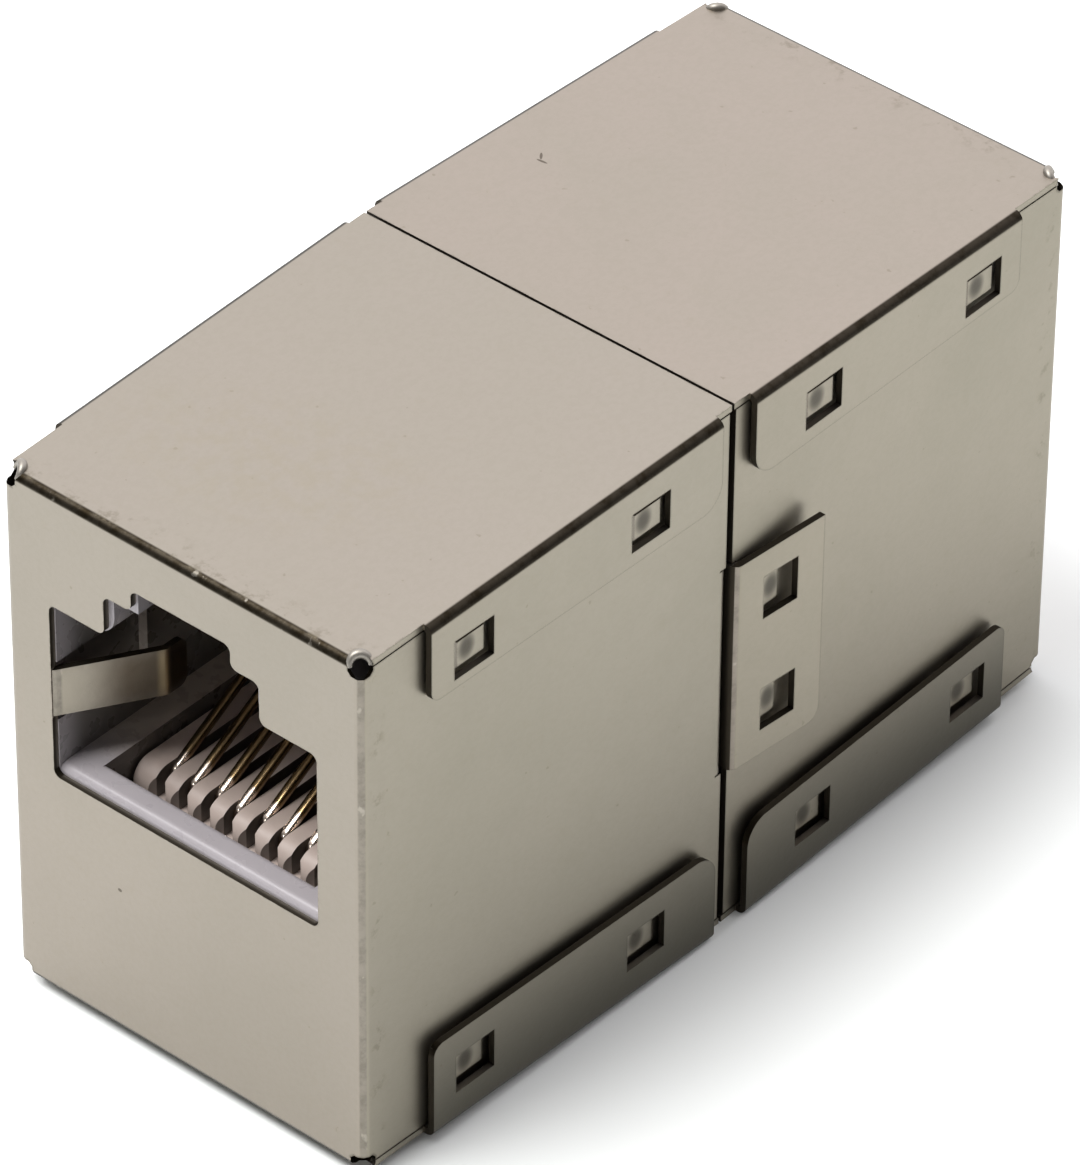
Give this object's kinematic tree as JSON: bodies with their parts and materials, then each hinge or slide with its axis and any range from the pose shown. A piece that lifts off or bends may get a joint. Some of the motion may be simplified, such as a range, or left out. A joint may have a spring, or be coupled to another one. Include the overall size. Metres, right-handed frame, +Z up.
{
  "type": "rj45 inline coupler",
  "caption": "Shielded inline coupler: folded sheet cases back to back, each with a stepped plug port, grounding tongues and a row of hairpin spring contacts.",
  "frame": {"origin": "on the lowest line of the cases, in the seam plane between the two halves, centred across the ports", "axes": "+X across the ports, +Y from the front port to the rear port along the coupler, +Z up towards the latch side"},
  "size_m": [0.0174, 0.0362, 0.0225],
  "materials": {
    "case_sheet": "satin nickel plating with faint mottling, light scratches and worn edges",
    "port_plastic": "semi-gloss pale grey moulding",
    "carrier_plastic": "satin pale grey moulding",
    "contact_wire": "polished gold plating",
    "board_laminate": "satin green solder mask"
  },
  "bodies": {
    "root": {"front_shell": "case_sheet", "front_housing": "port_plastic", "front_carrier": "carrier_plastic", "contact_front_1": "contact_wire", "contact_front_2": "contact_wire", "contact_front_3": "contact_wire", "contact_front_4": "contact_wire", "contact_front_5": "contact_wire", "contact_front_6": "contact_wire", "contact_front_7": "contact_wire", "contact_front_8": "contact_wire", "rear_shell": "case_sheet", "rear_housing": "port_plastic", "rear_carrier": "carrier_plastic", "contact_rear_1": "contact_wire", "contact_rear_2": "contact_wire", "contact_rear_3": "contact_wire", "contact_rear_4": "contact_wire", "contact_rear_5": "contact_wire", "contact_rear_6": "contact_wire", "contact_rear_7": "contact_wire", "contact_rear_8": "contact_wire", "circuit_board": "board_laminate"}
  },
  "joints": []
}
